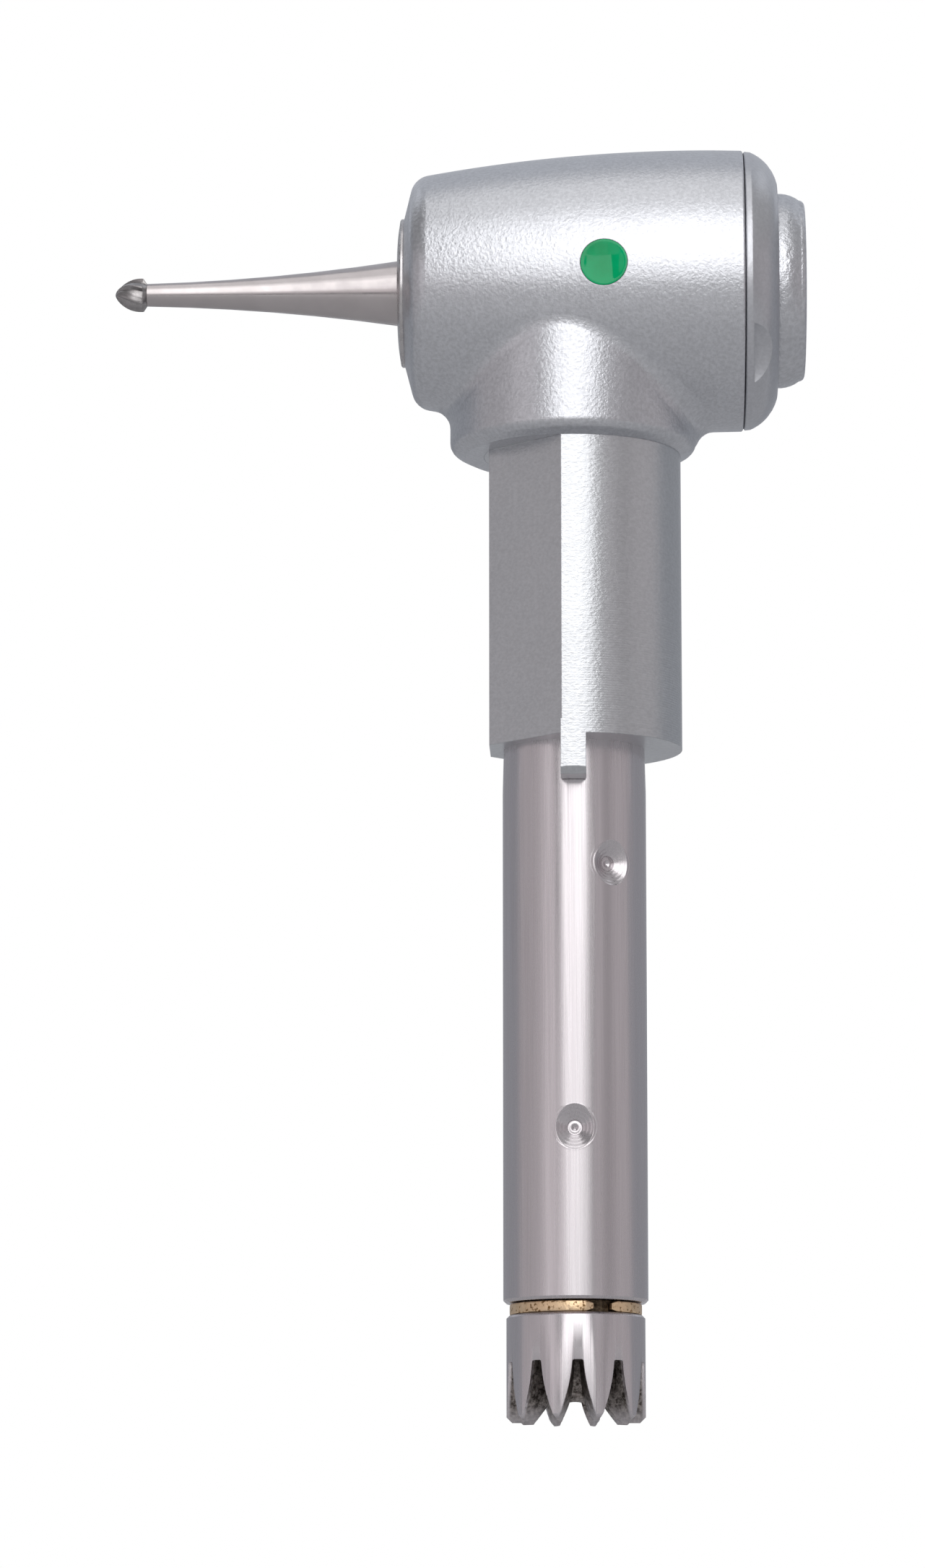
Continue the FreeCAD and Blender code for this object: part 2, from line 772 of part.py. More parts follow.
def spindle_gear():
    cone_angle = math.pi / 2 - pinion_cone_angle
    dedendum = pinion_addendum + root_clearance
    large = root_point(cone_angle, gear_outer_radius, dedendum, 1)
    scale = small_end_scale(cone_angle, gear_outer_radius)
    small = root_point(cone_angle, gear_outer_radius, dedendum, scale)
    rim = gear_outer_radius - 0.02
    hub_end = rear_bearing_x - running_clearance / 2
    blank = turned_about_x([
        (small[1], spindle_radius),
        (small[1], small[0]),
        (large[1], large[0]),
        (large[1] + 0.12, rim),
        (large[1] + 0.5, rim),
        (large[1] + 0.7, gear_hub_radius),
        (hub_end, gear_hub_radius),
        (hub_end, spindle_radius),
    ])
    half_pitch = 180.0 / gear_teeth
    teeth = bevel_gear(
        gear_teeth, cone_angle, gear_outer_radius,
        gear_tooth_thickness, gear_addendum, dedendum, half_pitch,
    )
    for tooth in teeth:
        tooth.rotate(Vec(0, 0, 0), Y_DIR, 90)
        at_bur_axis(tooth)
    return blank.fuse(teeth).removeSplitter()


def collet():
    """Slotted sleeve whose fingers grip the shank, spread by the button's plunger."""
    mouth = plunger_radius + 0.12
    grip = bur_radius + running_clearance / 2
    body = turned_about_x([
        (collet_front_x, grip),
        (collet_front_x, spindle_bore_radius),
        (collet_end_x, spindle_bore_radius),
        (collet_end_x, mouth),
        (collet_end_x - (mouth - grip), grip),
    ])
    slot_length = collet_end_x - collet_slot_front_x
    slot = Part.makeBox(slot_length, collet_slot_width, 2 * spindle_radius,
                        Vec(collet_slot_front_x, -collet_slot_width / 2, bur_axis_z))
    return body.cut(ring_of(slot, collet_slots, Vec(0, 0, bur_axis_z), X_DIR, 45.0))


def drive_key():
    """Half-moon key in the collet that turns the bur by its flat."""
    start = bur_end_x - bur_flat_length + 0.3
    chord = bur_flat_distance + running_clearance
    grip = bur_radius + running_clearance / 2
    segment = rod_x(grip, start, start + drive_key_length)
    below = Part.makeBox(drive_key_length, 4, 4, Vec(start, -2, bur_axis_z + chord - 4))
    return segment.cut(below)


# ---- bur ----------------------------------------------------------------
def bur_shank():
    groove_end = bur_end_x - bur_groove_from_end
    groove_start = groove_end - bur_groove_width
    chamfer = 0.12
    body = turned_about_x([
        (bur_neck_x, 0),
        (bur_neck_x, bur_neck_radius),
        (bur_taper_mid, (bur_taper_x, bur_radius)),
        (groove_start, bur_radius),
        (groove_start, bur_groove_radius),
        (groove_end, bur_groove_radius),
        (groove_end, bur_radius),
        (bur_end_x - chamfer, bur_radius),
        (bur_end_x, bur_radius - chamfer),
        (bur_end_x, 0),
    ])
    flat = Part.makeBox(bur_flat_length + 1, 4, 2,
                        Vec(bur_end_x - bur_flat_length, -2, bur_axis_z + bur_flat_distance))
    return body.cut(flat)


def bur_head():
    """Round carbide head with its blades cut as slanted grooves."""
    tip = bur_end_x - bur_length
    back = bur_neck_x
    r = bur_head_radius
    body = turned_about_x([
        (tip, 0),
        ((tip + 0.293 * r, 0.72 * r), (tip + 1.05 * r, r)),
        (back - 0.1, r * 0.985),
        (back - 0.02, r * 0.9),
        (back, bur_neck_radius),
        (back, 0),
    ])
    groove = Part.makePolygon([Vec(0, 0, 0.42 * r), Vec(0, 0.42 * r, 1.3 * r),
                               Vec(0, -0.03 * r, 1.3 * r), Vec(0, 0, 0.42 * r)])
    flute = Part.Face(groove).extrude(X_DIR * 3 * r)
    flute.translate(Vec(tip - 0.4 * r, 0, 0))
    flute.rotate(Vec(tip + r, 0, 0), Z_DIR, 14)
    at_bur_axis(flute)
    return body.cut(ring_of(flute, bur_blades, Vec(0, 0, bur_axis_z), X_DIR))


# ---- push button --------------------------------------------------------
def push_button():
    flange_x = cap_lip_x - button_flange_thickness - running_clearance
    lip_side = cap_lip_x - running_clearance
    inner = button_radius - button_wall
    shell = turned_about_x([
        (button_face_x - button_wall, 0),
        (button_face_x, 0),
        (button_face_x - 0.03, button_face_radius - button_corner_radius),
        ((button_face_x - 0.09, button_face_radius - 0.06),
         (button_face_x - button_corner_radius, button_face_radius)),
        ((cap_face_x + 0.5, button_radius - 0.07), (cap_face_x, button_radius)),
        (lip_side, button_radius),
        (lip_side, button_flange_radius),
        (flange_x, button_flange_radius),
        (flange_x, inner),
        (button_face_x - button_wall, inner),
    ])
    return shell


def button_plunger():
    """Boss under the button whose cone meets the collet's mouth when it is pressed."""
    tip = bur_end_x + button_travel + running_clearance
    return turned_about_x([
        (tip, 0),
        (tip, bur_radius),
        (tip + plunger_radius - bur_radius, plunger_radius),
        (button_face_x - button_wall, plunger_radius),
        (button_face_x - button_wall, 0),
    ])


def button_spring():
    start = cap_cavity_x + spring_wire_radius + 0.01
    end = button_face_x - button_wall - spring_wire_radius - 0.01
    helix = Part.makeHelix((end - start) / spring_turns, end - start, spring_radius)
    wire_section = Part.Wire(Part.makeCircle(spring_wire_radius, Vec(spring_radius, 0, 0), Y_DIR))
    coil = Part.Wire(helix.Edges).makePipeShell([wire_section], True, True)
    coil.rotate(Vec(0, 0, 0), Y_DIR, 90)
    coil.translate(Vec(start, 0, bur_axis_z))
    return coil


# ---- all nodes ----------------------------------------------------------
def all_pieces():
    pieces = {
        "head_housing": head_housing(),
        "locating_sleeve": locating_sleeve(),
        "guide_tube": guide_tube(),
        "front_cover": front_cover(),
        "end_cap": end_cap(),
        "colour_dot": colour_dot(),
        "preload_washer": preload_washer(),
        "spacer_sleeve": spacer_sleeve(),
        "bearing_retainer": bearing_retainer(),
        "drive_shaft": drive_shaft(),
        "drive_pinion": drive_pinion(),
        "crown_gear": crown_gear(),
        "split_ring": split_ring(),
        "spindle": spindle(),
        "spindle_gear": spindle_gear(),
        "collet": collet(),
        "drive_key": drive_key(),
        "bur_shank": bur_shank(),
        "bur_head": bur_head(),
        "push_button": push_button(),
        "button_plunger": button_plunger(),
        "button_spring": button_spring(),
    }
    bearings = {
        "front": spindle_bearing(front_bearing_x),
        "rear": spindle_bearing(rear_bearing_x),
        "upper": shaft_bearing(upper_bearing_z),
        "lower": shaft_bearing(lower_bearing_z),
    }
    for place, bearing in bearings.items():
        for piece, shape in bearing.items():
            pieces[f"{place}_{piece}"] = shape
    return pieces


def main():
    os.makedirs("parts", exist_ok=True)
    for name, shape in all_pieces().items():
        for solid in shape.Solids:
            if not solid.isValid() or solid.Volume <= 0:
                print("bad solid in", name)
        shape.exportStep(os.path.join("parts", f"{name}.step"))
        print(f"{name}: {len(shape.Solids)} solid(s), {shape.Volume:.3f} mm3")


main()
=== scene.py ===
import math

import bmesh
import bpy
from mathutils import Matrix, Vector, noise


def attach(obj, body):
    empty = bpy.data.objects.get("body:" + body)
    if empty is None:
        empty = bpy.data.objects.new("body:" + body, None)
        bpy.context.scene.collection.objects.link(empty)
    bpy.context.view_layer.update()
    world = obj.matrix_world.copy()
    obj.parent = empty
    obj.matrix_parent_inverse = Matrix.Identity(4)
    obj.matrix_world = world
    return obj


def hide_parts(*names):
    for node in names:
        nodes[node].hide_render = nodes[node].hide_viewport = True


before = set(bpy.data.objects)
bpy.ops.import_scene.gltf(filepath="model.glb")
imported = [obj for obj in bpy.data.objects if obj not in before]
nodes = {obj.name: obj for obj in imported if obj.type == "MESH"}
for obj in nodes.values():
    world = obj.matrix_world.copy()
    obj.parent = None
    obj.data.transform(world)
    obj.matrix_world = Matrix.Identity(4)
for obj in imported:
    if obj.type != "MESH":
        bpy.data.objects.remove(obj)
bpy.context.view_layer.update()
print("frame loaded with", len(nodes), "nodes")

mm = 0.001          # everything below is worked out in millimetres
burAxis = 16.8      # height of the bur's axis


# shader trees
class Shader:
    # one material with its Principled shader, and short ways to add and join nodes
    def __init__(self, name, colour, roughness, metallic=1.0):
        self.material = bpy.data.materials.new(name)
        self.material.use_nodes = True
        self.tree = self.material.node_tree
        self.main = self.tree.nodes["Principled BSDF"]
        self.set(self.main, {"Metallic": metallic})
        self.feed(self.main.inputs["Base Color"], colour)
        self.feed(self.main.inputs["Roughness"], roughness)
        self.place = self.add("TexCoord").outputs["Object"]

    def feed(self, socket, value):
        if isinstance(value, bpy.types.NodeSocket):
            self.tree.links.new(value, socket)
            return
        if isinstance(value, tuple) and len(value) == 3 and len(socket.default_value) == 4:
            value = (*value, 1.0)
        socket.default_value = value

    def set(self, node, inputs):
        for key, value in inputs.items():
            self.feed(node.inputs[key], value)

    def add(self, kind, inputs=None, **settings):
        node = self.tree.nodes.new("ShaderNode" + kind)
        for key, value in settings.items():
            setattr(node, key, value)
        self.set(node, inputs or {})
        return node

    def maths(self, operation, a, b=0.0, c=0.0):
        node = self.add("Math", {0: a, 1: b, 2: c}, operation=operation)
        return node.outputs[0]

    def vectorMath(self, operation, a, b):
        return self.add("VectorMath", {0: a, 1: b}, operation=operation)

    def stretched(self, x, y, z):
        # object coordinates scaled per axis: a pattern gets longer where the scale is smaller
        inputs = {"Vector": self.place, "Scale": (x, y, z)}
        return self.add("Mapping", inputs).outputs["Vector"]

    def noise(self, size, detail=2.0, roughness=0.5, place=None):
        # size is the width of one blob in millimetres
        inputs = {"Vector": place or self.place, "Detail": detail, "Roughness": roughness}
        inputs["Scale"] = 1 / (size * mm)
        return self.add("TexNoise", inputs).outputs["Fac"]

    def range(self, value, low, high, toLow, toHigh, smooth=False):
        kind = "SMOOTHSTEP" if smooth else "LINEAR"
        inputs = {"Value": value, "From Min": low, "From Max": high}
        inputs.update({"To Min": toLow, "To Max": toHigh})
        return self.add("MapRange", inputs, interpolation_type=kind).outputs["Result"]

    def between(self, value, ends, toLow, toHigh):
        # a smooth change from one place to the other, both in millimetres
        return self.range(value, ends[0] * mm, ends[1] * mm, toLow, toHigh, smooth=True)

    def axes(self):
        return self.add("SeparateXYZ", {0: self.place}).outputs

    def mix(self, share, a, b, blend="MIX"):
        node = self.add("Mix", data_type="RGBA", blend_type=blend)
        self.set(node, {0: share, 6: a, 7: b})
        return node.outputs[2]

    def bump(self, height, strength, depth, under=None):
        # depth is in millimetres
        inputs = {"Height": height, "Strength": strength, "Distance": depth * mm}
        if under is not None:
            inputs["Normal"] = under
        return self.add("Bump", inputs).outputs["Normal"]

    def patchy(self, pattern, v, low=0.3, high=0.7):
        # the clean colour and the dull one, in patches
        return self.mix(self.range(pattern, low, high, 0, 1), v["colour"], v["dull"])

    def grainLitAndShaded(self, tone, grain, amount):
        # painted highlight on top of each grain and painted shade between them
        light = self.range(grain, 0.35, 0.65, 1 - amount, 1 + amount)
        return self.mix(1.0, tone, light, blend="MULTIPLY")

    def waves(self, value, pitch):
        # pitch is in millimetres
        return self.maths("SINE", self.maths("MULTIPLY", value, 2 * math.pi / (pitch * mm)))

    def distance(self, a, b):
        squares = [self.maths("MULTIPLY", side, side) for side in (a, b)]
        return self.maths("SQRT", self.maths("ADD", *squares))

    def softEdges(self, radius):
        return self.add("Bevel", {"Radius": radius * mm}, samples=4).outputs["Normal"]

    def colour(self, value):
        self.feed(self.main.inputs["Base Color"], value)

    def roughness(self, value):
        self.feed(self.main.inputs["Roughness"], value)

    def normal(self, value):
        self.feed(self.main.inputs["Normal"], value)


# bead-blasted steel of the housing, cap and button
blastValues = {
    "colour": (0.605, 0.612, 0.642),
    "dull": (0.59, 0.597, 0.627),
    "roughness": (0.29, 0.32),
    "patch": 1.6,        # width of a duller patch
    "grain": 0.12,       # width of one dent
    "grainDepth": 0.02,
    "grainStrength": 0.8,
    "grainHighlightAndShade": 0.09,     # how strong the painted highlight on the dents' tops and the painted shade in them are
    "edge": 0.05,        # rounding shown on sharp edges
}


def blastedSteel(name, **changes):
    v = {**blastValues, **changes}
    s = Shader(name, v["colour"], 0.4)
    grain = s.noise(v["grain"], 3.0, 0.6)
    patches = s.noise(v["patch"], 3.0, 0.55)
    # the grain gets a painted highlight on its tops and painted shade in its dents
    s.colour(s.grainLitAndShaded(s.patchy(patches, v), grain, v["grainHighlightAndShade"]))
    s.roughness(s.range(patches, 0.35, 0.65, *v["roughness"]))
    s.normal(s.bump(grain, v["grainStrength"], v["grainDepth"], s.softEdges(v["edge"])))
    return s.material


# turned and lightly blasted steel of the locating sleeve
sleeveValues = {
    "colour": (0.60, 0.61, 0.63),
    "dull": (0.59, 0.60, 0.62),
    "roughness": (0.28, 0.31),
    "patch": 2.0,
    "grain": 0.12,
    "grainDepth": 0.015,
    "grainStrength": 0.8,
    "grainHighlightAndShade": 0.06,
    "edge": 0.04,
    "linePitch": 0.085,   # between turning marks
    "lineDepth": 0.0035,
    "lineStrength": 0.8,
    "fadeHeights": (7.0, 1.5),    # where the marks start to show, and where they show fully
    "fadeAcross": (0.0, 2.6),
}


def sleeveSteel():
    v = sleeveValues
    s = Shader("sleeveSteel", v["colour"], 0.35)
    patches = s.noise(v["patch"], 3.0, 0.55)
    grain = s.noise(v["grain"], 3.0, 0.6, s.stretched(0.8, 0.8, 1.25))
    # the grain gets a painted highlight on its tops and painted shade in its dents
    s.colour(s.grainLitAndShaded(s.patchy(patches, v), grain, v["grainHighlightAndShade"]))
    s.roughness(s.range(patches, 0.35, 0.65, *v["roughness"]))
    axes = s.axes()
    # the turning marks show most on the lower right, where the blasting was light
    low = s.between(axes["Z"], v["fadeHeights"], 0.15, 1.0)
    right = s.between(axes["X"], v["fadeAcross"], 0.1, 1.0)
    waves = s.waves(axes["Z"], v["linePitch"])
    lines = s.maths("MULTIPLY", waves, s.maths("MULTIPLY", low, right))
    under = s.bump(lines, v["lineStrength"], v["lineDepth"], s.softEdges(v["edge"]))
    s.normal(s.bump(grain, v["grainStrength"], v["grainDepth"], under))
    return s.material


# steel that is polished along its length, for the guide tube and the crown
tubeValues = {
    "colour": (0.67, 0.633, 0.652),
    "dull": (0.60, 0.563, 0.582),
    "roughness": (0.21, 0.31),
    "streak": 0.05,          # width of one streak
    "streakLength": 0.012,   # smaller is longer
    "streakDepth": 0.0015,
    "broad": 0.5,            # width of a band of streaks
    "broadLength": 0.03,
    "pit": 0.06,
    "pitDepth": 0.002,
    "edge": 0.03,
    "ringDepth": 0.004,
}

# dirt and painted shade inside the crown's slots and hollow
grimeAndShadeValues = {
    "wall": (2.40, 2.28),       # radius where the dirt and painted shade start, and where they are full
    "thinnerAtFoot": (-23.9, -23.2),     # heights over which the dirt and painted shade thin out at the foot
    "hollow": (-20.5, -20.2),   # heights over which the dirt and painted shade get browner
    "speck": 0.2,
    "sootAndShade": (0.055, 0.045, 0.038),
    "scraped": (0.42, 0.38, 0.36),
    "greaseAndShade": (0.03, 0.02, 0.012),
    "brown": (0.16, 0.12, 0.08),
    "rougher": 0.22,
    "depth": 0.02,
}


def streakedSteel(name, crown=False):
    v = tubeValues
    s = Shader(name, v["colour"], 0.22)
    streaks = s.noise(v["streak"], 2.0, 0.5, s.stretched(1, 1, v["streakLength"]))
    broad = s.noise(v["broad"], 2.0, 0.5, s.stretched(1, 1, v["broadLength"]))
    pits = s.noise(v["pit"], 3.0, 0.7)
    shade = s.maths("MULTIPLY_ADD", streaks, 0.5, s.maths("MULTIPLY", broad, 0.5))
    steel = s.patchy(shade, v, 0.35, 0.65)
    rough = s.range(shade, 0.35, 0.65, *v["roughness"])
    under = s.softEdges(v["edge"])
    if crown:
        # inside the crown: darkened with dirt and painted shade
        steel, rough, under = grimeAndPaintedShade(s, steel, rough, under)
    else:
        under = s.bump(drillRings(s), 0.6, v["ringDepth"], under)
    s.colour(steel)
    s.roughness(rough)
    under = s.bump(pits, 0.2, v["pitDepth"], under)
    s.normal(s.bump(streaks, 0.25, v["streakDepth"], under))
    return s.material


def grimeAndPaintedShade(s, steel, rough, under):
    # everything inside the outer wall, in the slots and the hollow, is dark: partly grease and
    # wear, partly painted shade in these recesses
    v = grimeAndShadeValues
    x, y, z = s.axes()
    inside = s.between(s.distance(x, y), v["wall"], 0, 1)
    share = s.maths("MULTIPLY", inside, s.between(z, v["thinnerAtFoot"], 0.35, 1))
    specks = s.range(s.noise(v["speck"], 4.0, 0.75), 0.4, 0.62, 0.0, 1.0)
    low, high = (height * mm for height in v["hollow"])
    upper = s.range(z, low, high, 0, 1)
    sootyAndShaded = s.mix(specks, v["sootAndShade"], v["scraped"])
    grimeAndShade = s.mix(upper, sootyAndShaded, s.mix(specks, v["greaseAndShade"], v["brown"]))
    dirt = s.maths("MULTIPLY", specks, share)
    return (
        s.mix(share, steel, grimeAndShade),
        s.maths("MULTIPLY_ADD", share, v["rougher"], rough),
        s.bump(dirt, 0.6, v["depth"], under),
    )


# ring marks that the drill left in the tube's dimples
dimpleValues = {
    "places": ((-4.37, 32.0), (-13.72, 0.0)),   # height, and degrees from the front
    "tube": 2.55,              # the tube's radius
    "reach": (0.84, 0.7812),   # radius where the rings end, and where they are full
    "depths": (-1.2, -0.9),    # the same along the dimple's axis
    "pitch": 0.13,             # between rings
}


def drillRings(s):
    v = dimpleValues
    total = 0.0
    for height, angle in v["places"]:
        turn = math.radians(angle)
        across = (math.cos(turn), math.sin(turn), 0)
        outward = (math.sin(turn), -math.cos(turn), 0)
        centre = (Vector(outward) * v["tube"] + Vector((0, 0, height))) * mm
        offset = s.vectorMath("SUBTRACT", s.place, tuple(centre)).outputs[0]
        side = s.vectorMath("DOT_PRODUCT", offset, across).outputs["Value"]
        out = s.vectorMath("DOT_PRODUCT", offset, outward).outputs["Value"]
        rise = s.add("SeparateXYZ", {0: offset}).outputs["Z"]
        radius = s.distance(side, rise)
        near = s.range(radius, v["reach"][0] * mm, v["reach"][1] * mm, 0, 1)
        facing = s.range(out, v["depths"][0] * mm, v["depths"][1] * mm, 0, 1)
        rings = s.maths("MULTIPLY", s.waves(radius, v["pitch"]), near)
        total = s.maths("ADD", total, s.maths("MULTIPLY", rings, facing))
    return total


# ground steel of the bur, its head, the cover and the parts inside
groundValues = {
    "pitch": 0.045,        # width of one grinding line
    "along": 0.02,         # how much the lines are drawn out
    "lineDepth": 0.0008,
    "lineStrength": 0.3,
    "edge": 0.02,
}


def groundSteel(name, colour, roughness, dark=0.8, axis="X", blotch=0.35):
    v = groundValues
    s = Shader(name, colour, 0.3)
    patches = s.noise(blotch, 4.0, 0.6)
    tones = {"colour": colour, "dull": tuple(c * dark for c in colour)}
    s.colour(s.patchy(patches, tones, 0.35, 0.75))
    s.roughness(s.range(patches, 0.3, 0.7, roughness * 0.8, roughness * 1.25))
    scale = [1 if letter == axis else v["along"] for letter in "XYZ"]
    lines = s.noise(v["pitch"], 2.0, 0.5, s.stretched(*scale))
    s.normal(s.bump(lines, v["lineStrength"], v["lineDepth"], s.softEdges(v["edge"])))
    return s.material


# brass of the split ring, spotted with tarnish
brassValues = {
    "light": (0.92, 0.70, 0.48),
    "deep": (0.80, 0.56, 0.33),
    "tarnish": (0.22, 0.11, 0.035),
    "spot": 0.16,
    "roughness": (0.30, 0.65),   # clean, tarnished
    "lump": 0.14,
    "lumpDepth": 0.02,
}


def tarnishedBrass():
    v = brassValues
    s = Shader("tarnishedBrass", v["light"], 0.4)
    spots = s.range(s.noise(v["spot"], 4.0, 0.65), 0.52, 0.66, 0, 1, smooth=True)
    clean = s.mix(s.noise(0.4), v["light"], v["deep"])
    s.colour(s.mix(spots, clean, v["tarnish"]))
    s.roughness(s.range(spots, 0, 1, *v["roughness"]))
    s.normal(s.bump(s.noise(v["lump"], 4.0, 0.6), 0.7, v["lumpDepth"]))
    return s.material


# gloss enamel of the mark
enamelValues = {
    "colour": (0.0, 0.45, 0.17),
    "dull": (0.0, 0.36, 0.12),
    "patch": 0.9,
    "roughness": 0.07,
    "shine": 0.34,
    "wave": 0.5,
    "waveDepth": 0.01,
}


def greenEnamel():
    v = enamelValues
    s = Shader("greenEnamel", v["colour"], v["roughness"], 0.0)
    s.set(s.main, {"Specular IOR Level": v["shine"]})
    s.colour(s.patchy(s.noise(v["patch"], 2.0, 0.5), v))
    s.normal(s.bump(s.noise(v["wave"], 2.0, 0.4), 0.15, v["waveDepth"]))
    return s.material


# resin of the ball cages
resinValues = {
    "colour": (0.34, 0.18, 0.08),
    "dull": (0.22, 0.10, 0.04),
    "weave": 0.12,
    "weaveDepth": 0.005,
    "roughness": (0.45, 0.65),
}


def cageResin():
    v = resinValues
    s = Shader("cageResin", v["colour"], 0.55, 0.0)
    weave = s.noise(v["weave"], 4.0, 0.7)
    s.colour(s.patchy(weave, v, 0.35, 0.65))
    s.roughness(s.range(weave, 0.3, 0.7, *v["roughness"]))
    s.normal(s.bump(weave, 0.4, v["weaveDepth"]))
    return s.material


# where the cap and the button differ from the housing
capValues = {
    "colour": (0.58, 0.585, 0.615),
    "dull": (0.55, 0.557, 0.587),
    "roughness": (0.31, 0.35),
    "grainDepth": 0.012,
    "grainHighlightAndShade": 0.05,
}
buttonValues = {"roughness": (0.29, 0.33), "grain": 0.17, "grainDepth": 0.045}

finishes = {
    "blasted": blastedSteel("blastedSteel"),
    "capSteel": blastedSteel("capSteel", **capValues),
    "buttonSteel": blastedSteel("buttonSteel", **buttonValues),
    "sleeve": sleeveSteel(),
    "tube": streakedSteel("tubeSteel"),
    "crown": streakedSteel("crownSteel", crown=True),
    "cover": groundSteel("coverSteel", (0.58, 0.56, 0.565), 0.26),
    "bur": groundSteel("burSteel", (0.55, 0.51, 0.51), 0.22, dark=0.9, blotch=1.2),
    "burHead": groundSteel("burHeadSteel", (0.42, 0.40, 0.40), 0.3, dark=0.65, blotch=0.3),
    "inside": groundSteel("insideSteel", (0.55, 0.55, 0.555), 0.25),
    "shaft": groundSteel("shaftSteel", (0.52, 0.51, 0.50), 0.27, axis="Z"),
    "spring": groundSteel("springSteel", (0.45, 0.45, 0.46), 0.3),
    "brass": tarnishedBrass(),
    "enamel": greenEnamel(),
    "resin": cageResin(),
}

nodeFinish = {
    "head_housing": "blasted",
    "end_cap": "capSteel",
    "push_button": "buttonSteel",
    "locating_sleeve": "sleeve",
    "guide_tube": "tube",
    "crown_gear": "crown",
    "front_cover": "cover",
    "bur_shank": "bur",
    "bur_head": "burHead",
    "split_ring": "brass",
    "colour_dot": "enamel",
    "button_spring": "spring",
    "preload_washer": "spring",
    "drive_shaft": "shaft",
    "drive_pinion": "shaft",
    "spacer_sleeve": "shaft",
    "bearing_retainer": "shaft",
}
for place in ("front", "rear", "upper", "lower"):
    nodeFinish[place + "_cage"] = "resin"

for name, shown in nodes.items():
    shown.data.materials.clear()
    shown.data.materials.append(finishes[nodeFinish.get(name, "inside")])
print("finishes on all nodes")


# mesh helpers
def newPiece(name, points, faces, finish, smoothAngle=35.0):
    # points are in millimetres in the frame; the object itself stays at the origin
    mesh = bpy.data.meshes.new(name)
    mesh.from_pydata([tuple(c * mm for c in p) for p in points], [], faces)
    bm = bmesh.new()
    bm.from_mesh(mesh)
    bmesh.ops.remove_doubles(bm, verts=bm.verts, dist=1e-8)
    bmesh.ops.recalc_face_normals(bm, faces=bm.faces)
    bm.to_mesh(mesh)
    bm.free()
    piece = bpy.data.objects.new(name, mesh)
    bpy.context.scene.collection.objects.link(piece)
    dress(piece, finish, smoothAngle)
    return piece


def dress(piece, finish, smoothAngle):
    piece.data.materials.clear()
    piece.data.materials.append(finishes[finish])
    piece.data.shade_smooth()
    piece.data.set_sharp_from_angle(angle=math.radians(smoothAngle))


def baked(piece):
    # the piece with its modifiers applied, as a plain mesh
    graph = bpy.context.evaluated_depsgraph_get()
    mesh = bpy.data.meshes.new_from_object(piece.evaluated_get(graph))
    mesh.name = piece.name
    piece.modifiers.clear()
    piece.data = mesh
    return piece


def stitchRings(count, width):
    # quads between consecutive rings of points, each ring having width points
    faces = []
    for here in range(0, (count - 1) * width, width):
        there = here + width
        for j in range(width):
            k = (j + 1) % width
            faces.append((here + j, here + k, there + k, there + j))
    return faces


def ringCap(ring, width):
    # one face across the ring with this number
    return tuple(range(ring * width, (ring + 1) * width))


# bur head
burHeadValues = {
    "tip": -16.555,
    "back": -15.40,
    "shoulder": -15.62,         # where the dome ends
    "rim": -15.55,              # where the back starts to slope in
    "rimRound": (0.02, 0.012),  # how far back and in the rim is rounded
    "radius": 0.604,
    "neck": 0.395,
    "neckRound": (0.01, 0.02),  # how far forward and out the blades run into the neck
    "point": 0.004,             # radius of the flat at the very tip
    "bulge": (2.1, 0.62),       # powers of the dome's outline; a true ellipse has 2 and 0.5
    "steps": 40,                # rings along the dome
    "blades": 6,
    "turn": 6.0,                # degrees the whole ring of blades is turned
    "twist": 46.0,              # degrees from tip to back
    "twistPower": 0.7,          # below 1, the blades twist more near the tip
    # across one blade: share of the way to the next, and radius as a share of the full one
    "blade": ((0.0, 1.0), (0.03, 0.985), (0.06, 0.90), (0.10, 0.80), (0.15, 0.745), (0.25, 0.755),
              (0.40, 0.80), (0.55, 0.855), (0.66, 0.87), (0.70, 0.88), (0.80, 0.93), (0.90, 0.975),
              (0.96, 0.998)),
}


def burHeadOutline(v):
    # a dome, then a short straight part
    outline = [(v["tip"], v["point"])]
    inner, outer = v["bulge"]
    for i in range(1, v["steps"] + 1):
        share = math.cos(math.pi * 0.5 * i / v["steps"])
        r = v["radius"] * (1 - share**inner) ** outer
        outline.append((v["shoulder"] + (v["tip"] - v["shoulder"]) * share, r))
    return outline + [(v["rim"], v["radius"])]


def buildBurHead():
    v = burHeadValues
    points = []
    width = v["blades"] * len(v["blade"])
    length = v["back"] - v["tip"]

    def ring(x, radius, depth=1.0):
        turn = math.radians(v["turn"] + v["twist"] * ((x - v["tip"]) / length) ** v["twistPower"])
        for blade in range(v["blades"]):
            for share, height in v["blade"]:
                angle = turn + 2 * math.pi * (blade + share) / v["blades"]
                r = radius * (1 + (height - 1) * depth)
                points.append((x, r * math.cos(angle), burAxis + r * math.sin(angle)))

    for x, radius in burHeadOutline(v):
        ring(x, radius)
    (rimBack, rimIn), (neckFront, neckOut) = v["rimRound"], v["neckRound"]
    ring(v["rim"] + rimBack, v["radius"] - rimIn)
    ring(v["back"] - neckFront, v["neck"] + neckOut, 0.1)
    ring(v["back"], v["neck"], 0.0)
    rings = len(points) // width
    faces = stitchRings(rings, width) + [ringCap(0, width), ringCap(rings - 1, width)]
    return newPiece("burHeadBlades", points, faces, "burHead", 24)


burHead = buildBurHead()
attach(burHead, "bur")
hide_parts("bur_head")
print("bur head built")


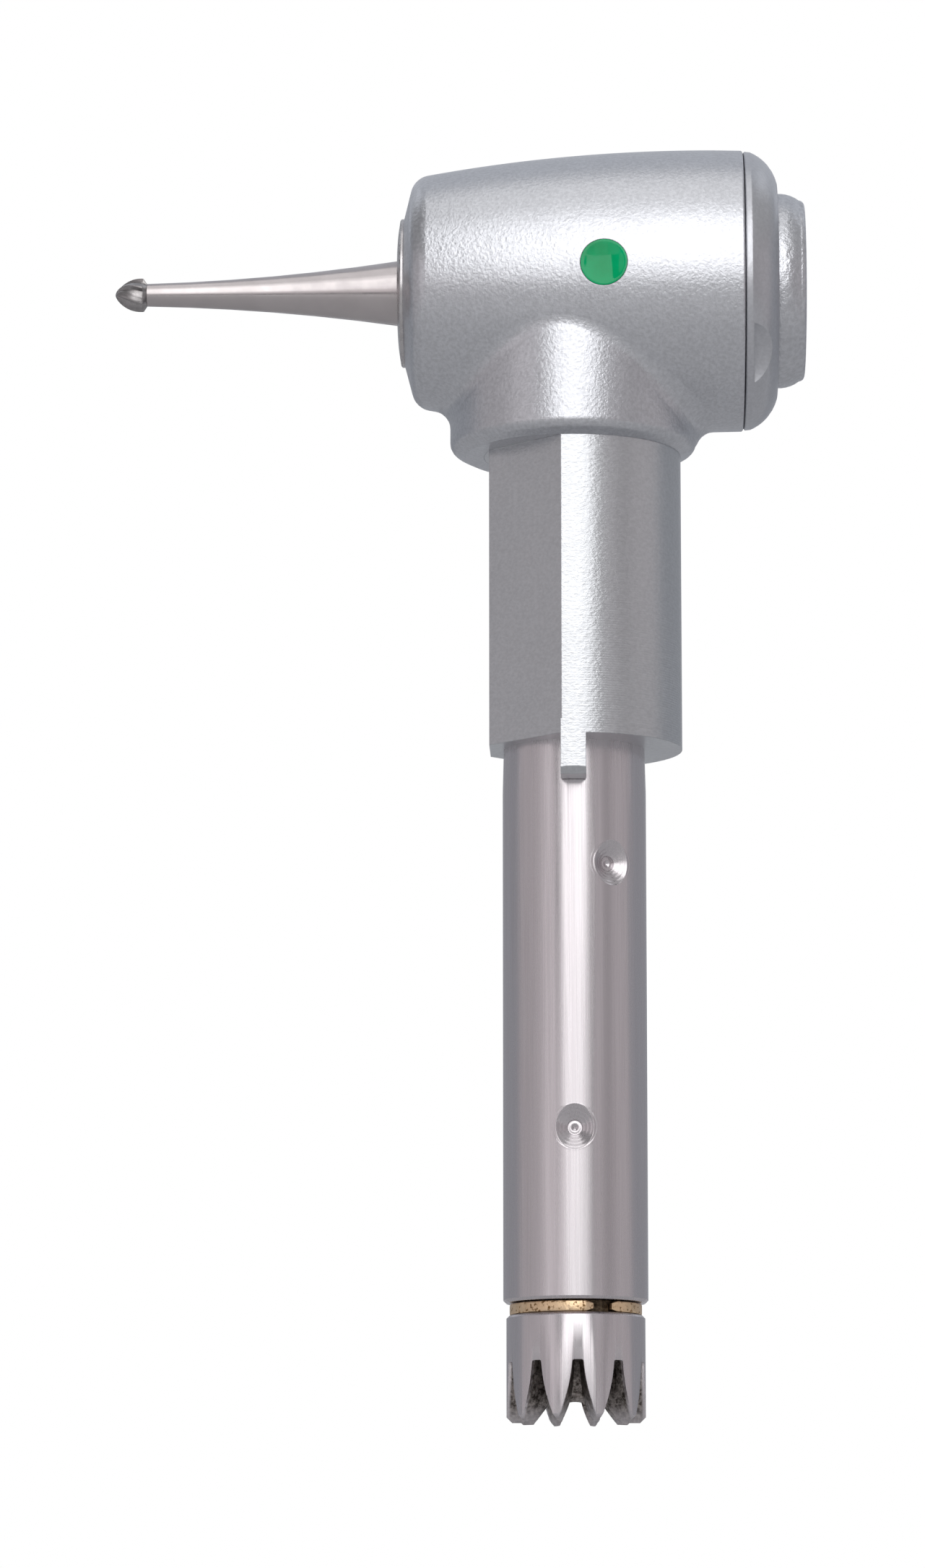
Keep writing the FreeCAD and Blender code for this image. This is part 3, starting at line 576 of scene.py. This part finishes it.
# crown
crownValues = {
    "teeth": 10,
    "phase": 2.0,               # degrees from the front to the first slot
    "radius": 2.44,
    "top": -20.14,
    "topEdge": 0.1,
    "foot": -23.88,
    "footEdge": 0.2,
    "footInner": 1.85,          # radius inside the foot, where the hollow starts
    "shaftEnd": -22.58,         # height of the hollow's bottom
    "shaft": 0.8,               # radius of the bore
    "collar": (2.07, -19.72),   # radius and height of the step that carries the ring
    "hub": (1.15, -19.41),      # the same of the small step above it
    "slotTop": -21.80,
    "slotHalf": 0.20,           # half the slot's width at its narrowest
    # the slot's rounded top: how much narrower, and how far below the top
    "slotRound": ((0.06, 0.0), (0.015, 0.03), (0.0, 0.10)),
    "slotBend": (0.14, 0.95),   # how much wider the slot is, this far below its top
    "slotPast": 0.05,           # how far the slot runs past the foot
    "slotReach": (0.4, 1.2),    # how far outside the rim it starts, and the radius it cuts to
    "softening": 0.028,         # rounding on every worn edge
}


def lathe(name, outline, segments):
    # a ring-shaped solid turned about the Z axis from a closed outline
    points = []
    for r, z in outline:
        for j in range(segments):
            angle = 2 * math.pi * j / segments
            points.append((r * math.cos(angle), r * math.sin(angle), z))
    faces = stitchRings(len(outline), segments)
    last = (len(outline) - 1) * segments
    for j in range(segments):
        k = (j + 1) % segments
        faces.append((last + j, last + k, k, j))
    return newPiece(name, points, faces, "crown")


def curveThrough(start, bend, end, steps):
    # points on the parabola through three given ones, with the width a function of height
    curve = []
    for i in range(1, steps + 1):
        z = start[1] + (end[1] - start[1]) * i / steps
        w = 0.0
        for a, b, c in ((start, bend, end), (bend, start, end), (end, start, bend)):
            w += a[0] * (z - b[1]) * (z - c[1]) / ((a[1] - b[1]) * (a[1] - c[1]))
        curve.append((w, z))
    return curve


def slotCutter():
    # one slot's outline, rounded at the top and as wide as a tooth's pitch at the foot
    v = crownValues
    pitchHalf = math.pi * v["radius"] / v["teeth"]
    top, foot, narrow = v["slotTop"], v["foot"] - v["slotPast"], v["slotHalf"]
    wider, below = v["slotBend"]
    outside, inmost = v["slotReach"]
    side = [(narrow - less, top - down) for less, down in v["slotRound"]]
    side += curveThrough(side[-1], (narrow + wider, top - below), (pitchHalf, foot), 12)
    loop = side + [(-x, z) for x, z in reversed(side)]
    points = []
    for radius in (v["radius"] + outside, inmost):
        k = radius / v["radius"]
        points += [(x * k, -radius, z) for x, z in loop]
    width = len(loop)
    faces = stitchRings(2, width) + [ringCap(0, width), ringCap(1, width)]
    return newPiece("slotCutter", points, faces, "crown")


def roundAbout(name, source, count, phase, finish):
    # Geometry Nodes: copies of source turned evenly about the Z axis
    tree = bpy.data.node_groups.new(name, "GeometryNodeTree")
    face = tree.interface
    face.new_socket("Geometry", in_out="OUTPUT", socket_type="NodeSocketGeometry")
    countIn = face.new_socket("Copies", in_out="INPUT", socket_type="NodeSocketInt")
    phaseIn = face.new_socket("First angle", in_out="INPUT", socket_type="NodeSocketFloat")
    sourceIn = face.new_socket("Source", in_out="INPUT", socket_type="NodeSocketObject")
    make = tree.nodes.new
    join = tree.links.new
    given = make("NodeGroupInput")
    line = make("GeometryNodeMeshLine")
    line.inputs["Offset"].default_value = (0, 0, 0)
    join(given.outputs["Copies"], line.inputs["Count"])
    info = make("GeometryNodeObjectInfo")
    join(given.outputs["Source"], info.inputs["Object"])
    index = make("GeometryNodeInputIndex")
    share = make("ShaderNodeMath")
    share.operation = "DIVIDE"
    join(index.outputs[0], share.inputs[0])
    join(given.outputs["Copies"], share.inputs[1])
    turn = make("ShaderNodeMath")
    turn.operation = "MULTIPLY_ADD"
    turn.inputs[1].default_value = 2 * math.pi
    join(share.outputs[0], turn.inputs[0])
    join(given.outputs["First angle"], turn.inputs[2])
    spin = make("ShaderNodeCombineXYZ")
    join(turn.outputs[0], spin.inputs["Z"])
    place = make("GeometryNodeInstanceOnPoints")
    join(line.outputs["Mesh"], place.inputs["Points"])
    join(info.outputs["Geometry"], place.inputs["Instance"])
    join(spin.outputs[0], place.inputs["Rotation"])
    real = make("GeometryNodeRealizeInstances")
    join(place.outputs[0], real.inputs[0])
    paint = make("GeometryNodeSetMaterial")
    paint.inputs["Material"].default_value = finishes[finish]
    join(real.outputs[0], paint.inputs["Geometry"])
    out = make("NodeGroupOutput")
    join(paint.outputs[0], out.inputs[0])
    piece = bpy.data.objects.new(name, bpy.data.meshes.new(name))
    bpy.context.scene.collection.objects.link(piece)
    modifier = piece.modifiers.new(name, "NODES")
    modifier.node_group = tree
    modifier[countIn.identifier] = count
    modifier[phaseIn.identifier] = phase
    modifier[sourceIn.identifier] = source
    bpy.context.view_layer.update()
    return baked(piece)


def buildCrown():
    v = crownValues
    r, edge, corner = v["radius"], v["topEdge"], v["footEdge"]
    (collar, collarTop), (hub, hubTop) = v["collar"], v["hub"]
    blank = lathe("crownTeeth", [
        (v["shaft"], v["shaftEnd"]), (v["footInner"], v["foot"]),
        (r - corner, v["foot"]), (r, v["foot"] + corner),
        (r, v["top"] - edge), (r - edge, v["top"]),
        (collar, v["top"]), (collar, collarTop),
        (hub, collarTop), (hub, hubTop), (v["shaft"], hubTop),
    ], 240)
    cutter = slotCutter()
    cutters = roundAbout("slotCutters", cutter, v["teeth"], math.radians(v["phase"]), "crown")
    cut = blank.modifiers.new("slots", "BOOLEAN")
    cut.object = cutters
    cut.solver = "EXACT"
    baked(blank)
    wear = blank.modifiers.new("wear", "BEVEL")
    wear.width = v["softening"] * mm
    wear.segments = 2
    wear.limit_method = "ANGLE"
    wear.angle_limit = math.radians(30)
    baked(blank)
    for spare in (cutter, cutters):
        bpy.data.objects.remove(spare)
    dress(blank, "crown", 30)
    return blank


crown = buildCrown()
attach(crown, "drive_train")
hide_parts("crown_gear")
print("crown built:", len(crown.data.polygons), "faces")


# split ring in the groove
ringValues = {
    "inner": 2.075,
    "outer": 2.325,
    "low": -20.135,
    "high": -19.735,
    "gap": (16.0, 34.0),      # degrees from the front, open part
    "lumps": 0.022,
    "lumpPlaces": (9, 1.2),   # how quickly the lumps change along the ring and across it
    "ends": (0.55, 0.08),     # how thin its ends are, and how much thicker it gets per step
    "square": 0.35,           # power of the section's outline; 1 is an ellipse
    "steps": 300,
    "around": 20,             # points round its section
}


def buildSplitRing():
    v = ringValues
    start, end = (math.radians(a) for a in (v["gap"][1], v["gap"][0] + 360))
    steps, around = v["steps"], v["around"]
    along, across = v["lumpPlaces"]
    thin, growth = v["ends"]
    midR, midZ = (v["inner"] + v["outer"]) / 2, (v["low"] + v["high"]) / 2
    halfR, halfZ = (v["outer"] - v["inner"]) / 2, (v["high"] - v["low"]) / 2
    section = []
    for j in range(around):
        a = 2 * math.pi * j / around
        section.append([
            math.copysign(abs(side) ** v["square"], side) for side in (math.cos(a), math.sin(a))
        ])
    points = []
    for i in range(steps + 1):
        angle = start + (end - start) * i / steps
        outward = Vector((math.sin(angle), -math.cos(angle), 0))
        taper = min(1.0, thin + min(i, steps - i) * growth)
        for u, w in section:
            spot = outward * along + Vector((u, 0, w)) * across
            lump = noise.fractal(spot, 1.0, 2.0, 3) * v["lumps"]
            r = midR + halfR * u * taper + (min(0.0, lump) if u > 0 else 0)
            z = midZ + halfZ * w * taper * (1 - abs(lump) * 2)
            points.append((r * outward.x, r * outward.y, z))
    faces = stitchRings(steps + 1, around) + [ringCap(0, around), ringCap(steps, around)]
    return newPiece("brassSplitRing", points, faces, "brass", 50)


splitRing = buildSplitRing()
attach(splitRing, "drive_train")
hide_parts("split_ring")
print("split ring built")


# enamel dot
# the enamel shrank as it set, so its face is a shallow dish with a raised rim
dotValues = {
    "x": 1.14,
    "z": 16.66,
    "radius": 0.825,
    "sunk": 0.2,
    "proud": 0.03,       # how far the rim stands out of the housing
    "rimPower": 20,      # larger is a sharper rim
    "dish": 0.153,
    "rings": 24,
    "around": 96,
    "barrel": 5.08,      # the housing's largest radius
    "widest": 4.5,       # where along the bur's axis that is
    "bulge": 55.0,       # radius of the housing's outline, seen from the side
}


def barrelRadius(x):
    v = dotValues
    return v["barrel"] + math.sqrt(v["bulge"] ** 2 - (x - v["widest"]) ** 2) - v["bulge"]


def buildDot():
    v = dotValues
    rings, width = v["rings"], v["around"]
    outline = []
    for i in range(1, rings + 1):
        share = i / rings
        rim = v["proud"] * (1 - share ** v["rimPower"])
        outline.append((share, rim - v["dish"] * (1 - share**2)))
    outline += [(1.0, -v["sunk"]), (0.5, -v["sunk"])]
    points = []
    for share, rise in outline:
        for j in range(width):
            a = 2 * math.pi * j / width
            x = v["x"] + v["radius"] * share * math.cos(a)
            z = v["z"] + v["radius"] * share * math.sin(a)
            r = barrelRadius(x) + rise
            points.append((x, -math.sqrt(r**2 - (z - burAxis) ** 2), z))
    last = len(outline) - 1
    faces = stitchRings(last + 1, width) + [ringCap(0, width), ringCap(last, width)]
    return newPiece("enamelDot", points, faces, "enamel", 50)


dot = buildDot()
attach(dot, "housing")
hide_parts("colour_dot")
print("enamel dot built")


# floor, light and camera
# a round floor that glows with painted light towards its rim, until it is as pale as the
# surroundings
floorValues = {
    "height": -62.0,
    "radius": 300.0,
    "colour": (0.64, 0.64, 0.64),
    "shade": (0.60, 0.60, 0.605),
    "grain": 3.0,
    "paintedGlowReach": (190.0, 298.0),   # radius where the floor's painted glow starts, and where it is strongest
    "paintedGlow": 0.46,
    "rings": 12,
    "around": 128,
}


def palePaper():
    v = floorValues
    s = Shader("palePaper", v["colour"], 0.9, 0.0)
    s.colour(s.mix(s.noise(v["grain"], 3.0, 0.5), v["colour"], v["shade"]))
    axes = s.axes()
    # painted light: emission that grows towards the floor's rim
    paintedGlowReach = s.between(s.distance(axes["X"], axes["Y"]), v["paintedGlowReach"], 0, v["paintedGlow"])
    s.set(s.main, {"Emission Color": (1.0, 1.0, 1.0), "Emission Strength": paintedGlowReach})
    return s.material


def buildFloor():
    v = floorValues
    rings, width = v["rings"], v["around"]
    points = []
    for i in range(1, rings + 1):
        for j in range(width):
            a = 2 * math.pi * j / width
            r = v["radius"] * i / rings
            points.append((r * math.cos(a), r * math.sin(a), v["height"]))
    faces = stitchRings(rings, width) + [ringCap(0, width)]
    finishes["paper"] = palePaper()
    newPiece("floor", points, faces, "paper")


buildFloor()

plain, warm, cool = (1.0, 1.0, 1.0), (1.0, 0.945, 0.96), (0.93, 0.97, 1.04)

# soft boxes all round: azimuth and elevation of the middle, width and height, all in degrees,
# then the brightness and tint of the box's face; azimuth is from the front, positive to the right
lampValues = {
    "key": (1, 26.5, 42, 40, 2.08, plain),
    "keyUpper": (-3, 53, 40, 15, 1.4, plain),
    "keyFoot": (-2, 0.5, 22, 12, 1.13, plain),
    "keyFootRight": (18, 0.5, 18, 12, 0.78, plain),
    "keyFootLeft": (-22, 0.5, 18, 12, 0.8, warm),
    "leftNear": (-42, 8, 20, 36, 0.72, warm),
    "rightNear": (38, 8, 16, 36, 0.45, warm),
    "leftMiddle": (-58, 8, 12, 36, 0.45, warm),
    "rightMiddle": (54, 8, 16, 36, 0.30, warm),
    "leftSide": (-82, 8, 36, 36, 0.42, warm),
    "rightSide": (82, 8, 40, 36, 0.44, warm),
    "leftBack": (-132, 8, 64, 36, 0.28, cool),
    "rightBack": (134, 8, 64, 36, 0.28, cool),
    "back": (180, 8, 30, 36, 0.35, cool),
    "top": (0, 80, 44, 36, 0.98, plain),
    "upperBack": (180, 52, 80, 56, 0.52, cool),
    "leftUpper": (-90, 45, 70, 35, 0.25, plain),
    "rightUpper": (80, 45, 80, 35, 0.38, plain),
}
lampDistance = 420.0    # millimetres
worldValues = {"seen": (1.0, 1.0, 1.0), "around": (0.07, 0.07, 0.075)}


def addLamp(name, azimuth, elevation, width, height, face, tint):
    a, e = math.radians(azimuth), math.radians(elevation)
    away = Vector((math.sin(a) * math.cos(e), -math.cos(a) * math.cos(e), math.sin(e)))
    lamp = bpy.data.lights.new(name, "AREA")
    lamp.shape = "RECTANGLE"
    lamp.size = 2 * lampDistance * mm * math.tan(math.radians(width) / 2)
    lamp.size_y = 2 * lampDistance * mm * math.tan(math.radians(height) / 2)
    lamp.energy = face * math.pi * lamp.size * lamp.size_y
    lamp.color = tint
    holder = bpy.data.objects.new(name, lamp)
    holder.location = away * lampDistance * mm
    holder.rotation_mode = "QUATERNION"
    holder.rotation_quaternion = away.to_track_quat("Z", "Y")
    holder.visible_camera = False
    bpy.context.scene.collection.objects.link(holder)


for name, values in lampValues.items():
    addLamp(name, *values)

# the surroundings look white to the camera, and are softer grey in reflections
world = bpy.data.worlds.new("studio")
world.use_nodes = True
bpy.context.scene.world = world
sky = world.node_tree
sky.nodes.clear()
grey = sky.nodes.new("ShaderNodeBackground")
grey.inputs["Color"].default_value = (*worldValues["around"], 1)
white = sky.nodes.new("ShaderNodeBackground")
white.inputs["Color"].default_value = (*worldValues["seen"], 1)
path = sky.nodes.new("ShaderNodeLightPath")
either = sky.nodes.new("ShaderNodeMixShader")
skyOut = sky.nodes.new("ShaderNodeOutputWorld")
sky.links.new(path.outputs["Is Camera Ray"], either.inputs[0])
sky.links.new(grey.outputs[0], either.inputs[1])
sky.links.new(white.outputs[0], either.inputs[2])
sky.links.new(either.outputs[0], skyOut.inputs["Surface"])

cameraValues = {
    "place": (1.339, -203.2, -34.84),
    "up": 9.4,       # degrees it looks up
    "left": 1.5,     # degrees it looks to the left
    "lens": 132.66,
    "sensor": 36.0,
}
camera = bpy.data.objects.new("camera", bpy.data.cameras.new("camera"))
bpy.context.scene.collection.objects.link(camera)
camera.data.sensor_width = cameraValues["sensor"]
camera.data.lens = cameraValues["lens"]
camera.data.clip_start = 0.01
camera.data.clip_end = 50.0
camera.location = Vector(cameraValues["place"]) * mm
camera.rotation_euler = (
    math.radians(90 + cameraValues["up"]), 0, math.radians(cameraValues["left"]),
)
bpy.context.scene.camera = camera
bpy.context.scene.view_settings.view_transform = "Standard"
print("stage, lamps and camera ready")
